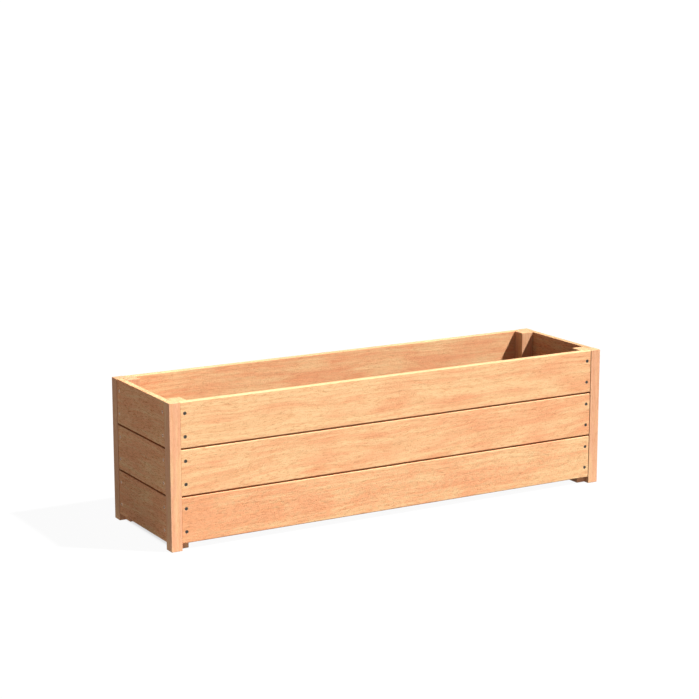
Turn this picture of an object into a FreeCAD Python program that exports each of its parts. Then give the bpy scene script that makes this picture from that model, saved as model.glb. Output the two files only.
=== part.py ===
import FreeCAD, Part
import Sketcher
import math
import os

# A long wooden planter box. Horizontal boards are let into rebated corner posts and held by countersunk
# screws. A slatted floor lies loose on two bearers inside. Millimetres, +Z up, +X along the length, -Y to
# the front. The origin is the middle of the footprint, on the ground.

# Driving sizes
SIZES = {
    # Footprint over the outer faces of the posts
    "overall_length": 1610,
    "overall_depth": 432,
    # Height of the feet: from the ground to the underside of the lowest boards
    "foot_height": 22,
    # Wall boards
    "board_width": 145,
    "board_thickness": 21,
    "board_gap": 4.5,
    "board_edge_radius": 3,
    "board_end_clearance": 0.5,
    # Corner posts: the lip covers the board ends and stands proud of the boards
    "post_size": 68,
    "post_lip": 37,
    "post_proud": 1.5,
    "post_arris": 1,
    # Wood screws: sizes across the flats, with 90 degree heads sunk just under the face
    "screw_head_size": 10,
    "screw_head_rim": 0.3,
    "screw_core_size": 4,
    "screw_recess": 0.3,
    "screw_bite": 24,
    "screw_tip_size": 0.8,
    "screw_edge_distance": 36,
    "screw_hole_clearance": 0.75,
    "screw_seat_clearance": 0.1,
    # Floor bearers along the lowest front and back boards
    "bearer_width": 34,
    "bearer_height": 45,
    "bearer_lift": 6,
    "bearer_arris": 2,
    "bearer_end_clearance": 1,
    "bearer_screw_bite": 12,
    "bearer_screw_end_distance": 120,
    # Floor slats across the box, with gaps that let water out
    "slat_width": 145,
    "slat_thickness": 21,
    "slat_edge_radius": 3,
    "slat_smallest_gap": 10,
    "slat_wall_clearance": 2,
    "slat_post_clearance": 2,
}

BOARD_ROWS = ("lower", "middle", "upper")
BOARD_ENDS = 2
SCREWS_PER_BOARD_END = 2
SCREWS_PER_BEARER = 3

# Sizes that follow from the driving sizes
LAYOUT = {
    "board_pitch": "=Sizes.board_width + Sizes.board_gap",
    "overall_height": f"=Sizes.foot_height + {len(BOARD_ROWS)} * board_pitch - Sizes.board_gap",
    "rebate_depth": "=Sizes.board_thickness + Sizes.post_proud",
    "post_block": "=Sizes.post_size - rebate_depth",
    "long_board_length": "=Sizes.overall_length - 2 * (Sizes.post_lip + Sizes.board_end_clearance)",
    "end_board_length": "=Sizes.overall_depth - 2 * (Sizes.post_lip + Sizes.board_end_clearance)",
    "inner_length": "=Sizes.overall_length - 2 * rebate_depth",
    "inner_depth": "=Sizes.overall_depth - 2 * rebate_depth",
    # Screws and their holes: half sizes across the flats, and places midway over the posts' bearing faces
    "head_half": "=Sizes.screw_head_size / 2",
    "core_half": "=Sizes.screw_core_size / 2",
    "head_depth": "=head_half - core_half",
    "hole_half": "=core_half + Sizes.screw_hole_clearance",
    "seat_half": "=head_half + Sizes.screw_recess + Sizes.screw_head_rim + Sizes.screw_seat_clearance",
    "seat_depth": "=seat_half - hole_half",
    "pilot_half": "=core_half + Sizes.screw_seat_clearance",
    "point_depth": "=core_half - Sizes.screw_tip_size / 2",
    "screw_post_distance": "=(Sizes.post_lip + Sizes.post_size) / 2",
    "screw_end_distance": "=screw_post_distance - Sizes.post_lip - Sizes.board_end_clearance",
    "screw_spread": "=Sizes.board_width - 2 * Sizes.screw_edge_distance",
    "row_spread": f"={len(BOARD_ROWS) - 1} * board_pitch",
    # Floor
    "bearer_base": "=Sizes.foot_height + Sizes.bearer_lift",
    "bearer_length": "=Sizes.overall_length - 2 * (Sizes.post_size + Sizes.bearer_end_clearance)",
    "bearer_screw_level": "=Sizes.bearer_height / 2",
    "bearer_screw_spread": "=bearer_length - 2 * Sizes.bearer_screw_end_distance",
    "slat_length": "=inner_depth - 2 * Sizes.slat_wall_clearance",
    "slat_run": "=inner_length - 2 * Sizes.slat_wall_clearance",
    "slat_base": "=bearer_base + Sizes.bearer_height",
    "slat_notch": "=post_block + Sizes.slat_post_clearance - Sizes.slat_wall_clearance",
}

PARALLEL = 0.999
CLOSE = 1e-6
UPRIGHT = FreeCAD.Vector(0, 0, 1)

doc = FreeCAD.newDocument("WoodenPlanter")


# Spreadsheets
def write_sheet(name, cells):
    """Fills a sheet with one named cell for each entry."""
    sheet = doc.addObject("Spreadsheet::Sheet", name)
    for row, (alias, content) in enumerate(cells.items(), start=1):
        sheet.set(f"A{row}", alias)
        sheet.set(f"B{row}", str(content))
        sheet.setAlias(f"B{row}", alias)
    return sheet


sizes = write_sheet("Sizes", SIZES)
layout = write_sheet("Layout", LAYOUT)
doc.recompute()


# Helpers for bodies, sketches and features
def value(expression):
    """The present value of an expression on the sheets, as a plain number."""
    return float(sizes.evalExpression(expression))


def new_body(label, turn, base):
    """An empty body, turned about the upright axis, with its base point bound to three expressions."""
    body = doc.addObject("PartDesign::Body", label)
    body.Label = label
    body.Placement = FreeCAD.Placement(FreeCAD.Vector(), FreeCAD.Rotation(UPRIGHT, turn))
    for axis, expression in zip("xyz", base):
        body.setExpression(f"Placement.Base.{axis}", expression)
    return body


def origin_feature(body, role):
    """One of the body's own origin planes or axes."""
    return next(feature for feature in body.Origin.OriginFeatures if feature.Role == role)


def outline_sketch(body, name, plane, corners, offset=("0", "0", "0")):
    """A closed outline through corners that are pairs of expressions, on a shifted origin plane."""
    sketch = body.newObject("Sketcher::SketchObject", name)
    sketch.AttachmentSupport = [(origin_feature(body, plane), "")]
    sketch.MapMode = "FlatFace"
    for axis, expression in zip("xyz", offset):
        if expression != "0":
            sketch.setExpression(f"AttachmentOffset.Base.{axis}", expression)
    spots = [FreeCAD.Vector(value(across), value(along), 0) for across, along in corners]
    for start, end in zip(spots, spots[1:] + spots[:1]):
        sketch.addGeometry(Part.LineSegment(start, end))
    for edge in range(len(corners)):
        following = (edge + 1) % len(corners)
        sketch.addConstraint(Sketcher.Constraint("Coincident", edge, 2, following, 1))
    for edge, corner in enumerate(corners):
        pin_corner(sketch, edge, corner)
    return sketch


def pin_corner(sketch, edge, corner):
    """Holds the start of a sketch edge at a pair of expressions, measured from the sketch's origin."""
    for kind, axis, expression in (("DistanceX", -2, corner[0]), ("DistanceY", -1, corner[1])):
        if expression == "0":
            sketch.addConstraint(Sketcher.Constraint("PointOnObject", edge, 1, axis))
            continue
        index = sketch.addConstraint(Sketcher.Constraint(kind, -1, 1, edge, 1, value(expression)))
        sketch.setExpression(f"Constraints[{index}]", expression)


def rectangle(across, along):
    """Corners of a rectangle that starts at the sketch's origin."""
    return [("0", "0"), (across, "0"), (across, along), ("0", along)]


def octagon(half):
    """Corners of a regular octagon about the sketch's origin, from half its size across the flats."""
    short = f"{half} * tan(22.5 deg)"
    quarter = [(half, f"-{short}"), (half, short)]
    corners = []
    for _ in range(4):
        corners += quarter
        quarter = [(negative(along), across) for across, along in quarter]
    return corners


def negative(expression):
    """An expression with its sign changed."""
    return expression[1:] if expression.startswith("-") else f"-{expression}"


def grow(body, kind, sketch, length, reverse=False):
    """Adds a Pad, or cuts a Pocket, from a sketch."""
    before = body.Shape.Volume if body.Tip else 0
    feature = body.newObject(f"PartDesign::{kind}", kind)
    feature.Profile = sketch
    feature.Reversed = reverse
    feature.setExpression("Length", length)
    doc.recompute()
    must_change(body, kind, before)
    return feature


def must_change(body, kind, before):
    """Stops the build if a feature points the wrong way and leaves the body as it was."""
    added = body.Shape.Volume - before
    if (kind == "Pocket" and not added < 0) or (kind == "Pad" and not added > 0):
        raise RuntimeError(f"a {kind} in {body.Label} changes nothing")


def ease_edges(body, kind, size_name, size, wanted):
    """Rounds or chamfers those edges of the body's last feature that a test accepts."""
    base = body.Tip
    names = [f"Edge{number}" for number, edge in enumerate(base.Shape.Edges, start=1) if wanted(edge)]
    feature = body.newObject(f"PartDesign::{kind}", kind)
    feature.Base = (base, names)
    feature.setExpression(size_name, size)
    doc.recompute()
    return feature


def runs_along(edge, axis):
    """True for a straight edge along one of the body's axes."""
    run = edge.Vertexes[-1].Point - edge.Vertexes[0].Point
    return abs(getattr(run.normalize(), axis)) > PARALLEL


def lies_at_depth(edge, depth):
    """True for an edge in the plane at a given depth behind the face at y = 0."""
    return all(abs(vertex.Point.y - depth) < CLOSE for vertex in edge.Vertexes)


def repeat(body, kind, steps, originals=None):
    """Repeats features, or the whole body: each step is one of its axes, a count and the length it covers."""
    before = body.Shape.Volume
    repeats = body.newObject("PartDesign::MultiTransform", "Repeats")
    if originals:
        repeats.Originals = originals
    else:
        repeats.TransformMode = "Whole shape"
    patterns = []
    for axis, count, length in steps:
        pattern = body.newObject("PartDesign::LinearPattern", "Step")
        pattern.Direction = (origin_feature(body, axis), [""])
        pattern.Occurrences = count
        pattern.setExpression("Length", length)
        patterns.append(pattern)
    repeats.Transformations = patterns
    body.Tip = repeats
    doc.recompute()
    must_change(body, kind, before)
    return repeats


# Screws and their holes. They are small and many, so their round sections have eight flat sides.
def add_screw(body, grip, bite, across, along):
    """One screw through a piece of thickness grip, whose face is at y = 0."""
    def pad(name, half, length):
        offset = (across, along, "-Sizes.screw_recess")
        sketch = outline_sketch(body, name, "XZ_Plane", octagon(half), offset)
        grow(body, "Pad", sketch, length, reverse=True)

    pad("Head", "Layout.head_half", "Sizes.screw_head_rim + Layout.head_depth")
    underside = value("Sizes.screw_recess + Sizes.screw_head_rim + Layout.head_depth")
    ease_edges(body, "Chamfer", "Size", "Layout.head_depth", lambda edge: lies_at_depth(edge, underside))
    pad("Shank", "Layout.core_half", f"{grip} + {bite} - Sizes.screw_recess")
    tip = value(f"{grip} + {bite}")
    ease_edges(body, "Chamfer", "Size", "Layout.point_depth", lambda edge: lies_at_depth(edge, tip))


def cut_screw_holes(body, grip, across, along, steps):
    """Clearance holes right through, repeated in steps, with their mouths at y = 0 sunk for screw heads."""
    sketch = outline_sketch(body, "Hole", "XZ_Plane", octagon("Layout.hole_half"), (across, along, "0"))
    hole = grow(body, "Pocket", sketch, grip)
    repeat(body, "Pocket", steps, [hole])
    hole_size = value("2 * Layout.hole_half")
    ease_edges(
        body, "Chamfer", "Size", "Layout.seat_depth",
        lambda edge: lies_at_depth(edge, 0) and edge.Length < hole_size,
    )


def cut_pilot(body, plane, offset, bite, reverse):
    """A blind hole that takes a screw's shank and point."""
    sketch = outline_sketch(body, "Pilot", plane, octagon("Layout.pilot_half"), offset)
    return grow(body, "Pocket", sketch, f"{bite} + Sizes.screw_seat_clearance", reverse=reverse)


# Steps between the screws of one board end, and between the rows of boards
ALONG_WIDTH = ("Z_Axis", SCREWS_PER_BOARD_END, "Layout.screw_spread")
ALONG_ROWS = ("Z_Axis", len(BOARD_ROWS), "Layout.row_spread")


# Corner posts
def make_post(label, turn, base):
    """One post, with its outer corner at the local origin and its two lips along local X and Y."""
    body = new_body(label, turn, base)
    lip = "Sizes.post_lip"
    rebate = "Layout.rebate_depth"
    size = "Sizes.post_size"
    corners = [
        ("0", "0"), (lip, "0"), (lip, rebate), (size, rebate),
        (size, size), (rebate, size), (rebate, lip), ("0", lip),
    ]
    grow(body, "Pad", outline_sketch(body, "Section", "XY_Plane", corners), "Layout.overall_height")
    inner_corners = [(value(lip), value(rebate)), (value(rebate), value(lip))]

    def outer_arris(edge):
        spot = edge.Vertexes[0].Point
        hollow = any(math.dist((spot.x, spot.y), corner) < CLOSE for corner in inner_corners)
        return runs_along(edge, "z") and not hollow

    ease_edges(body, "Chamfer", "Size", "Sizes.post_arris", outer_arris)
    lowest = "(Sizes.foot_height + Sizes.screw_edge_distance)"
    side_offset = ("Layout.screw_post_distance", lowest, f"-{rebate}")
    end_offset = ("Layout.screw_post_distance", lowest, rebate)
    side_pilot = cut_pilot(body, "XZ_Plane", side_offset, "Sizes.screw_bite", reverse=False)
    end_pilot = cut_pilot(body, "YZ_Plane", end_offset, "Sizes.screw_bite", reverse=True)
    repeat(body, "Pocket", [ALONG_WIDTH, ALONG_ROWS], [side_pilot, end_pilot])
    return body


half_length = "Sizes.overall_length / 2"
half_depth = "Sizes.overall_depth / 2"
posts = [
    make_post("post_front_left", 0, (f"-{half_length}", f"-{half_depth}", "0")),
    make_post("post_front_right", 90, (half_length, f"-{half_depth}", "0")),
    make_post("post_back_right", 180, (half_length, half_depth, "0")),
    make_post("post_back_left", 270, (f"-{half_length}", half_depth, "0")),
]

# Wall boards and their screws. Each side starts at the left end of its outer face, as one faces that side.
face_x = f"({half_length} - Sizes.post_proud)"
face_y = f"({half_depth} - Sizes.post_proud)"
long_half = "Layout.long_board_length / 2"
end_half = "Layout.end_board_length / 2"
SIDES = {
    "front": (0, "Layout.long_board_length", (f"-{long_half}", f"-{face_y}")),
    "right_end": (90, "Layout.end_board_length", (face_x, f"-{end_half}")),
    "back": (180, "Layout.long_board_length", (long_half, face_y)),
    "left_end": (270, "Layout.end_board_length", (f"-{face_x}", end_half)),
}
SIDES_WITH_BEARERS = ("front", "back")
FIRST_SCREW = ("Layout.screw_end_distance", "Sizes.screw_edge_distance")
ALONG_BEARER = ("X_Axis", SCREWS_PER_BEARER, "Layout.bearer_screw_spread")


def along_length(length):
    """The step from the screws of one board end to those of the other."""
    return "X_Axis", BOARD_ENDS, f"{length} - 2 * Layout.screw_end_distance"


def make_board(side, row, name):
    """One wall board: local X along it, its outer face at y = 0, its lower edge at z = 0."""
    turn, length, start = SIDES[side]
    height = f"Sizes.foot_height + {row} * Layout.board_pitch"
    body = new_body(f"{side}_board_{name}", turn, (*start, height))
    section = rectangle("Sizes.board_thickness", "Sizes.board_width")
    grow(body, "Pad", outline_sketch(body, "Section", "YZ_Plane", section), length)
    ease_edges(body, "Fillet", "Radius", "Sizes.board_edge_radius", lambda edge: runs_along(edge, "x"))
    cut_screw_holes(body, "Sizes.board_thickness", *FIRST_SCREW, [along_length(length), ALONG_WIDTH])
    if side in SIDES_WITH_BEARERS and row == 0:
        cut_bearer_pilots(body)
    return body


def cut_bearer_pilots(body):
    """Blind holes in the inner face of a lowest board, for the bearer screws."""
    first = "(Layout.long_board_length - Layout.bearer_screw_spread) / 2"
    level = "Sizes.bearer_lift + Layout.bearer_screw_level"
    offset = (first, level, "-Sizes.board_thickness")
    pilot = cut_pilot(body, "XZ_Plane", offset, "Sizes.bearer_screw_bite", reverse=True)
    repeat(body, "Pocket", [ALONG_BEARER], [pilot])


def make_wall_screws(side):
    """All the screws of one side, in that side's own frame."""
    turn, length, start = SIDES[side]
    body = new_body(f"{side}_screws", turn, (*start, "Sizes.foot_height"))
    add_screw(body, "Sizes.board_thickness", "Sizes.screw_bite", *FIRST_SCREW)
    repeat(body, "Pad", [along_length(length), ALONG_WIDTH, ALONG_ROWS])
    return body


boards = [make_board(side, row, name) for side in SIDES for row, name in enumerate(BOARD_ROWS)]
wall_screws = [make_wall_screws(side) for side in SIDES]

# Floor bearers and their screws. A bearer's screwed face looks into the box.
bearer_half = "Layout.bearer_length / 2"
bearer_face = f"({half_depth} - Layout.rebate_depth - Sizes.bearer_width)"
BEARERS = {
    "front": (180, (bearer_half, f"-{bearer_face}", "Layout.bearer_base")),
    "back": (0, (f"-{bearer_half}", bearer_face, "Layout.bearer_base")),
}
FIRST_BEARER_SCREW = ("Sizes.bearer_screw_end_distance", "Layout.bearer_screw_level")


def make_bearer(side):
    """One bearer: local X along it, its screwed face at y = 0."""
    body = new_body(f"floor_bearer_{side}", *BEARERS[side])
    section = rectangle("Sizes.bearer_width", "Sizes.bearer_height")
    grow(body, "Pad", outline_sketch(body, "Section", "YZ_Plane", section), "Layout.bearer_length")
    ease_edges(body, "Chamfer", "Size", "Sizes.bearer_arris", lambda edge: runs_along(edge, "x"))
    cut_screw_holes(body, "Sizes.bearer_width", *FIRST_BEARER_SCREW, [ALONG_BEARER])
    return body


def make_bearer_screws(side):
    """The screws of one bearer, in the bearer's own frame."""
    body = new_body(f"floor_bearer_{side}_screws", *BEARERS[side])
    add_screw(body, "Sizes.bearer_width", "Sizes.bearer_screw_bite", *FIRST_BEARER_SCREW)
    repeat(body, "Pad", [ALONG_BEARER])
    return body


bearers = [make_bearer(side) for side in BEARERS]
bearer_screws = [make_bearer_screws(side) for side in BEARERS]

# Floor slats: as many as fit with at least the smallest gap, spread evenly over the length
slat_step = value("Sizes.slat_width + Sizes.slat_smallest_gap")
slat_count = math.floor(value("Layout.slat_run + Sizes.slat_smallest_gap") / slat_step)
slat_spacing = f"((Layout.slat_run - Sizes.slat_width) / {slat_count - 1})"


def notched_outline():
    """A slat whose edge by the end wall is a tongue between the two posts."""
    notch = "Layout.slat_notch"
    tongue_end = f"Layout.slat_length - {notch}"
    return [
        (notch, "0"), ("Sizes.slat_width", "0"), ("Sizes.slat_width", "Layout.slat_length"),
        (notch, "Layout.slat_length"), (notch, tongue_end), ("0", tongue_end), ("0", notch), (notch, notch),
    ]


def make_slat(number):
    """One slat: local X over its width, local Y along it. The slats at the two ends go round the posts."""
    at_left_end = number == 0
    at_right_end = number == slat_count - 1
    turn = 180 if at_right_end else 0
    start_x = f"-Layout.slat_run / 2 + {number} * {slat_spacing}"
    start_y = "-Layout.slat_length / 2"
    if at_right_end:
        start_x = "Layout.slat_run / 2"
        start_y = "Layout.slat_length / 2"
    body = new_body(f"floor_slat_{number + 1:02d}", turn, (start_x, start_y, "Layout.slat_base"))
    plain = rectangle("Sizes.slat_width", "Layout.slat_length")
    corners = notched_outline() if at_left_end or at_right_end else plain
    grow(body, "Pad", outline_sketch(body, "Outline", "XY_Plane", corners), "Sizes.slat_thickness")
    width = value("Sizes.slat_width")

    def long_edge(edge):
        across = edge.Vertexes[0].Point.x
        return runs_along(edge, "y") and min(abs(across), abs(across - width)) < CLOSE

    ease_edges(body, "Fillet", "Radius", "Sizes.slat_edge_radius", long_edge)
    return body


slats = [make_slat(number) for number in range(slat_count)]

# Checks, then one file for each piece
pieces = posts + boards + wall_screws + bearers + bearer_screws + slats
doc.recompute()
failed = [item.Label for item in doc.Objects if "Invalid" in item.State or "Error" in item.State]
if failed:
    raise RuntimeError(f"these objects failed: {failed}")
for piece in pieces:
    if piece.Shape.isNull() or not piece.Shape.isValid():
        raise RuntimeError(f"{piece.Label} has no valid shape")

os.makedirs("parts", exist_ok=True)
for piece in pieces:
    piece.Shape.exportStep(f"parts/{piece.Label}.step")
    box = piece.Shape.BoundBox
    spans = f"{box.XLength:.1f} x {box.YLength:.1f} x {box.ZLength:.1f} mm"
    print(f"{piece.Label}: {len(piece.Shape.Solids)} solids, {piece.Shape.Volume / 1000:.1f} cm3, {spans}")
print(f"{len(pieces)} pieces, {slat_count} of them floor slats")
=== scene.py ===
# %% [markdown]
# # A long wooden planter
#
# The real planter is a trough of planed hardwood. Horizontal boards are screwed into four rebated corner
# posts, and a slatted floor lies on two bearers inside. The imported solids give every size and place, in
# metres. This lesson dresses them: each piece of timber gets eased edges, round screw seats and a grain
# of its own.

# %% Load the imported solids
import math
import random

import bmesh
import bpy
from mathutils import Matrix, Vector


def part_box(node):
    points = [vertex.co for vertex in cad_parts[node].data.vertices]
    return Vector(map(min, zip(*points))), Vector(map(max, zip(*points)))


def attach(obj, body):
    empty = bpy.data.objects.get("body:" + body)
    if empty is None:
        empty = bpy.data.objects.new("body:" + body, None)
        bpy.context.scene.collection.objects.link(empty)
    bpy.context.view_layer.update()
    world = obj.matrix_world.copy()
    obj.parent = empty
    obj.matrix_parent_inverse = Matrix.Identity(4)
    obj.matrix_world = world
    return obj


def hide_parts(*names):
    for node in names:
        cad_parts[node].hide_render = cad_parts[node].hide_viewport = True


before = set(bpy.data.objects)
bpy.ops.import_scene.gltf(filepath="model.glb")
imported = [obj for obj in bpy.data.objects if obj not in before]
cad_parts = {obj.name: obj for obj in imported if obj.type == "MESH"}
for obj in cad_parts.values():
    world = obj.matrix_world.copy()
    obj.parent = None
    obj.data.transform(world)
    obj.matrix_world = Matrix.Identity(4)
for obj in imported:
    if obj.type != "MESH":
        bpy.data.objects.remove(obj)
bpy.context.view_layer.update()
scene = bpy.context.scene


def add_object(name, data):
    """A new object in the scene."""
    made = bpy.data.objects.new(name, data)
    scene.collection.objects.link(made)
    return made


def new_mesh(name, points, edges=(), faces=()):
    """A mesh from points, and from edges and faces between them."""
    mesh = bpy.data.meshes.new(name)
    mesh.from_pydata(points, edges, faces)
    return mesh


# %% [markdown]
# ## Camera
#
# A long lens from more than six metres away keeps the long edges of the trough nearly parallel. The
# camera is placed by the point that it aims at, a distance and two angles, because those are easy to read
# and to change.

# %% Camera
AIM = Vector((-0.055, 0.0, 0.516))
VIEW_DISTANCE = 6.399
VIEW_AZIMUTH = math.radians(-30.03)
VIEW_ELEVATION = math.radians(11.71)
LENS_MM = 100.67

camera_data = bpy.data.cameras.new("camera")
camera_data.lens = LENS_MM
camera = add_object("camera", camera_data)
level = math.cos(VIEW_ELEVATION)
towards_camera = Vector((
    math.sin(VIEW_AZIMUTH) * level,
    -math.cos(VIEW_AZIMUTH) * level,
    math.sin(VIEW_ELEVATION),
))
camera.location = AIM + VIEW_DISTANCE * towards_camera
camera.rotation_euler = (math.pi / 2 - VIEW_ELEVATION, 0, VIEW_AZIMUTH)
scene.camera = camera
scene.view_settings.view_transform = "Standard"
print(f"camera at {[round(value, 3) for value in camera.location]}")

# %% [markdown]
# ## Nodes as Python expressions
#
# Materials, the world and Geometry Nodes are all node trees. Adding nodes one by one takes many lines, so
# a small class wraps a node's output and lets Python's operators add Math nodes: `1 - mask` becomes a
# Subtract node. Any other node comes from one method, which takes its type, its settings and its sockets.
# A few short forms of that method serve the nodes that come up most.

# %% Wires
class Wire:
    """One output of a node. Python's operators on it add Math nodes to its tree."""

    def __init__(self, nodes, socket):
        self.nodes = nodes
        self.socket = socket

    def math(self, operation, *values):
        return self.nodes.add("ShaderNodeMath", {"operation": operation}, dict(enumerate(values)))

    def __add__(self, other):
        return self.math("ADD", self, other)

    def __sub__(self, other):
        return self.math("SUBTRACT", self, other)

    def __rsub__(self, other):
        return self.math("SUBTRACT", other, self)

    def __mul__(self, other):
        return self.math("MULTIPLY", self, other)

    def __truediv__(self, other):
        return self.math("DIVIDE", self, other)

    def __rtruediv__(self, other):
        return self.math("DIVIDE", other, self)

    __radd__ = __add__
    __rmul__ = __mul__

    def between(self, low, high):
        """The value, held between two limits."""
        return self.math("MINIMUM", self.math("MAXIMUM", self, low), high)


print("wires ready")

# %% Node trees
class Nodes:
    """A node tree that is filled by calls, for materials and for geometry alike."""

    def __init__(self, tree):
        self.tree = tree
        tree.nodes.clear()

    @staticmethod
    def socket(sockets, key):
        """The socket with that number, or the first one in use with that name."""
        if isinstance(key, int):
            return sockets[key]
        return next(socket for socket in sockets if socket.enabled and socket.name == key)

    def add(self, kind, settings=None, sockets=None, output=0):
        """Adds a node: its settings first, then a value or a wire for each socket. Gives one output."""
        node = self.tree.nodes.new(kind)
        for name, setting in (settings or {}).items():
            setattr(node, name, setting)
        for key, given in (sockets or {}).items():
            target = self.socket(node.inputs, key)
            if isinstance(given, Wire):
                self.tree.links.new(given.socket, target)
            else:
                target.default_value = given
        return Wire(self, self.socket(node.outputs, output)) if node.outputs else None

    def vector(self, operation, first, second=None, output="Vector"):
        """A Vector Math node on one vector, on two, or on a vector and the number that scales it."""
        sockets = {0: first}
        if second is not None:
            sockets["Scale" if operation == "SCALE" else 1] = second
        return self.add("ShaderNodeVectorMath", {"operation": operation}, sockets, output)

    def given(self, name):
        """An input of a Geometry Nodes tree."""
        return self.add("NodeGroupInput", output=name)


X, Y, Z = range(3)


def separate(nodes, vector):
    """The three numbers of a vector."""
    return [nodes.add("ShaderNodeSeparateXYZ", sockets={"Vector": vector}, output=axis) for axis in "XYZ"]


def new_material(name):
    """An empty material and its nodes."""
    material = bpy.data.materials.new(name)
    material.use_nodes = True
    return material, Nodes(material.node_tree)


print("node kit ready")

# %% [markdown]
# ## Light
#
# The front is in full light, the left end is in shade, and the shadows inside the trough have clean
# edges: one main lamp, high on the right and in front, with a weak light from all round. A sun lamp gives
# parallel rays, and a few degrees of angle soften its shadows. The world is white where it is seen or
# mirrored. Where it only lights the wood it is dim, and dimmer overhead and in front than at the sides,
# as in a studio with pale side walls. So a bright background doesn't wash out the shade, least of all
# inside the trough.

# %% Light
TOWARDS_LAMP = Vector((0.6, -0.49, 1.0))
LAMP_STRENGTH = 7.2
LAMP_ANGLE = math.radians(3.0)
SIDE_LIGHT = 0.68
FRONT_DIMMING = 0.4
OVERHEAD_LIGHT = 0.0
WHITE = (1.0, 1.0, 1.0, 1.0)


def seen_directly(nodes):
    """1 for rays that show the surroundings, seen or mirrored, and 0 for rays that light things."""
    rays = [
        nodes.add("ShaderNodeLightPath", output=name)
        for name in ("Is Camera Ray", "Is Glossy Ray", "Is Transmission Ray")
    ]
    return rays[0].math("MINIMUM", rays[0] + rays[1] + rays[2], 1.0)


lamp_data = bpy.data.lights.new("main_lamp", "SUN")
lamp_data.energy = LAMP_STRENGTH
lamp_data.angle = LAMP_ANGLE
lamp = add_object("main_lamp", lamp_data)
lamp.rotation_euler = TOWARDS_LAMP.to_track_quat("Z", "Y").to_euler()

world = bpy.data.worlds.new("studio")
world.use_nodes = True
scene.world = world
nodes = Nodes(world.node_tree)
direction = separate(nodes, nodes.add("ShaderNodeTexCoord", output="Generated"))
height = direction[Z].math("MAXIMUM", direction[Z], 0.0)
forward = direction[Y].math("MAXIMUM", 0 - direction[Y], 0.0)
ambient = SIDE_LIGHT + (OVERHEAD_LIGHT - SIDE_LIGHT) * height
ambient = ambient * (1 - FRONT_DIMMING * forward)
seen = seen_directly(nodes)
strength = seen + (1 - seen) * ambient
background = nodes.add("ShaderNodeBackground", sockets={"Color": WHITE, "Strength": strength})
nodes.add("ShaderNodeOutputWorld", sockets={"Surface": background})
print(f"lamp strength {LAMP_STRENGTH}, ambient {SIDE_LIGHT} at the sides and {OVERHEAD_LIGHT} overhead")

# %% [markdown]
# ## Floor
#
# The planter stands on a plain pale floor. Most of what the camera sees of it is an even white, and the
# rest is a matt surface that takes the shadow, so the shadow stays soft and light. Right under the
# planter the white stops and the floor is a dark grey there, a painted shadow, so that the gaps in its
# floor look dark from above. Light that bounces off the floor meets a darker grey, as on a studio floor
# that is small and far from the walls. Round the feet the floor also gives off a little light, so that
# they don't go black in the shade of the lowest boards.

# %% Floor
FLOOR_REACH = 60.0
FLOOR_GLOW = 0.95
FLOOR_SEEN = 0.8
FLOOR_BOUNCE = 0.13
DARK_FROM = Vector((-0.74, -0.09))
DARK_TO = Vector((0.74, 0.17))
FEET_FROM = Vector((0.72, 0.13))
FEET_TO = Vector((0.83, 0.24))
FEET_GLOW = 0.28
PATCH_SOFTNESS = 0.05

corners = [(x * FLOOR_REACH, y * FLOOR_REACH, 0) for x, y in ((-1, -1), (1, -1), (1, 1), (-1, 1))]
floor_mesh = new_mesh("floor", corners, faces=[(0, 1, 2, 3)])
floor = add_object("floor", floor_mesh)


def outside_patch(place, low, high):
    """0 on a patch of the floor between two corners, and 1 a little further out."""
    beyond = []
    for along, start, end in zip(place, low, high):
        off_middle = along.math("ABSOLUTE", along - (start + end) / 2)
        beyond.append((off_middle - (end - start) / 2) / PATCH_SOFTNESS)
    furthest = beyond[X].math("MAXIMUM", beyond[X], beyond[Y])
    return furthest.between(0.0, 1.0)


floor_paint, nodes = new_material("floor_paint")
seen = seen_directly(nodes)
place = separate(nodes, nodes.add("ShaderNodeTexCoord", output="Object"))
# In this patch under the planter the floor is painted dark grey: a painted shadow.
clear = outside_patch(place, DARK_FROM, DARK_TO)
from_middle = [along.math("ABSOLUTE", along) for along in place[:2]]
at_feet = 1 - outside_patch(from_middle, FEET_FROM, FEET_TO)
shade = FLOOR_BOUNCE + (FLOOR_SEEN - FLOOR_BOUNCE) * seen * clear
matt = nodes.add("ShaderNodeBsdfDiffuse", sockets={"Color": shade})
glow = nodes.add("ShaderNodeEmission", sockets={"Color": WHITE, "Strength": 1.0})
glowing = FLOOR_GLOW * seen * clear + FEET_GLOW * (1 - seen) * at_feet
mixed = nodes.add("ShaderNodeMixShader", sockets={0: glowing, 1: matt, 2: glow})
nodes.add("ShaderNodeOutputMaterial", sockets={"Surface": mixed})
floor_mesh.materials.append(floor_paint)
print(f"floor {2 * FLOOR_REACH:.0f} m wide")

# %% [markdown]
# ## Wood
#
# The wood is a pale, pinkish hardwood, planed and matt. Close to, it has soft bands of honey and pink,
# fine streaks along the grain, short dark pores, faint growth rings and, here and there, a ripple across
# the grain. A flat picture would not go round the corners of a board. So the pattern is a solid one: it
# is worked out from a point's place in its own board, along the grain, through the thickness and across
# the width. Each piece carries that place as an attribute named grain, and a character and a figure of
# its own: its tone, pinkness and seed, and how far its grain slants, how curly it is and how porous. So
# no two boards match.

# %% Wood colours
def srgb(red, green, blue):
    """A colour as a screen shows it, from 0 to 255, turned into linear light."""
    def linear(value):
        share = value / 255
        return share / 12.92 if share <= 0.04045 else ((share + 0.055) / 1.055) ** 2.4
    return (linear(red), linear(green), linear(blue), 1.0)


HONEY = srgb(247, 202, 150)
BLUSH = srgb(241, 173, 127)
POST_BLUSH = srgb(240, 180, 141)
LATE_WOOD = srgb(230, 156, 106)
DENSE_WOOD = srgb(220, 137, 86)
PORE = srgb(168, 102, 62)
WORN_ARRIS = srgb(246, 208, 166)
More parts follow.
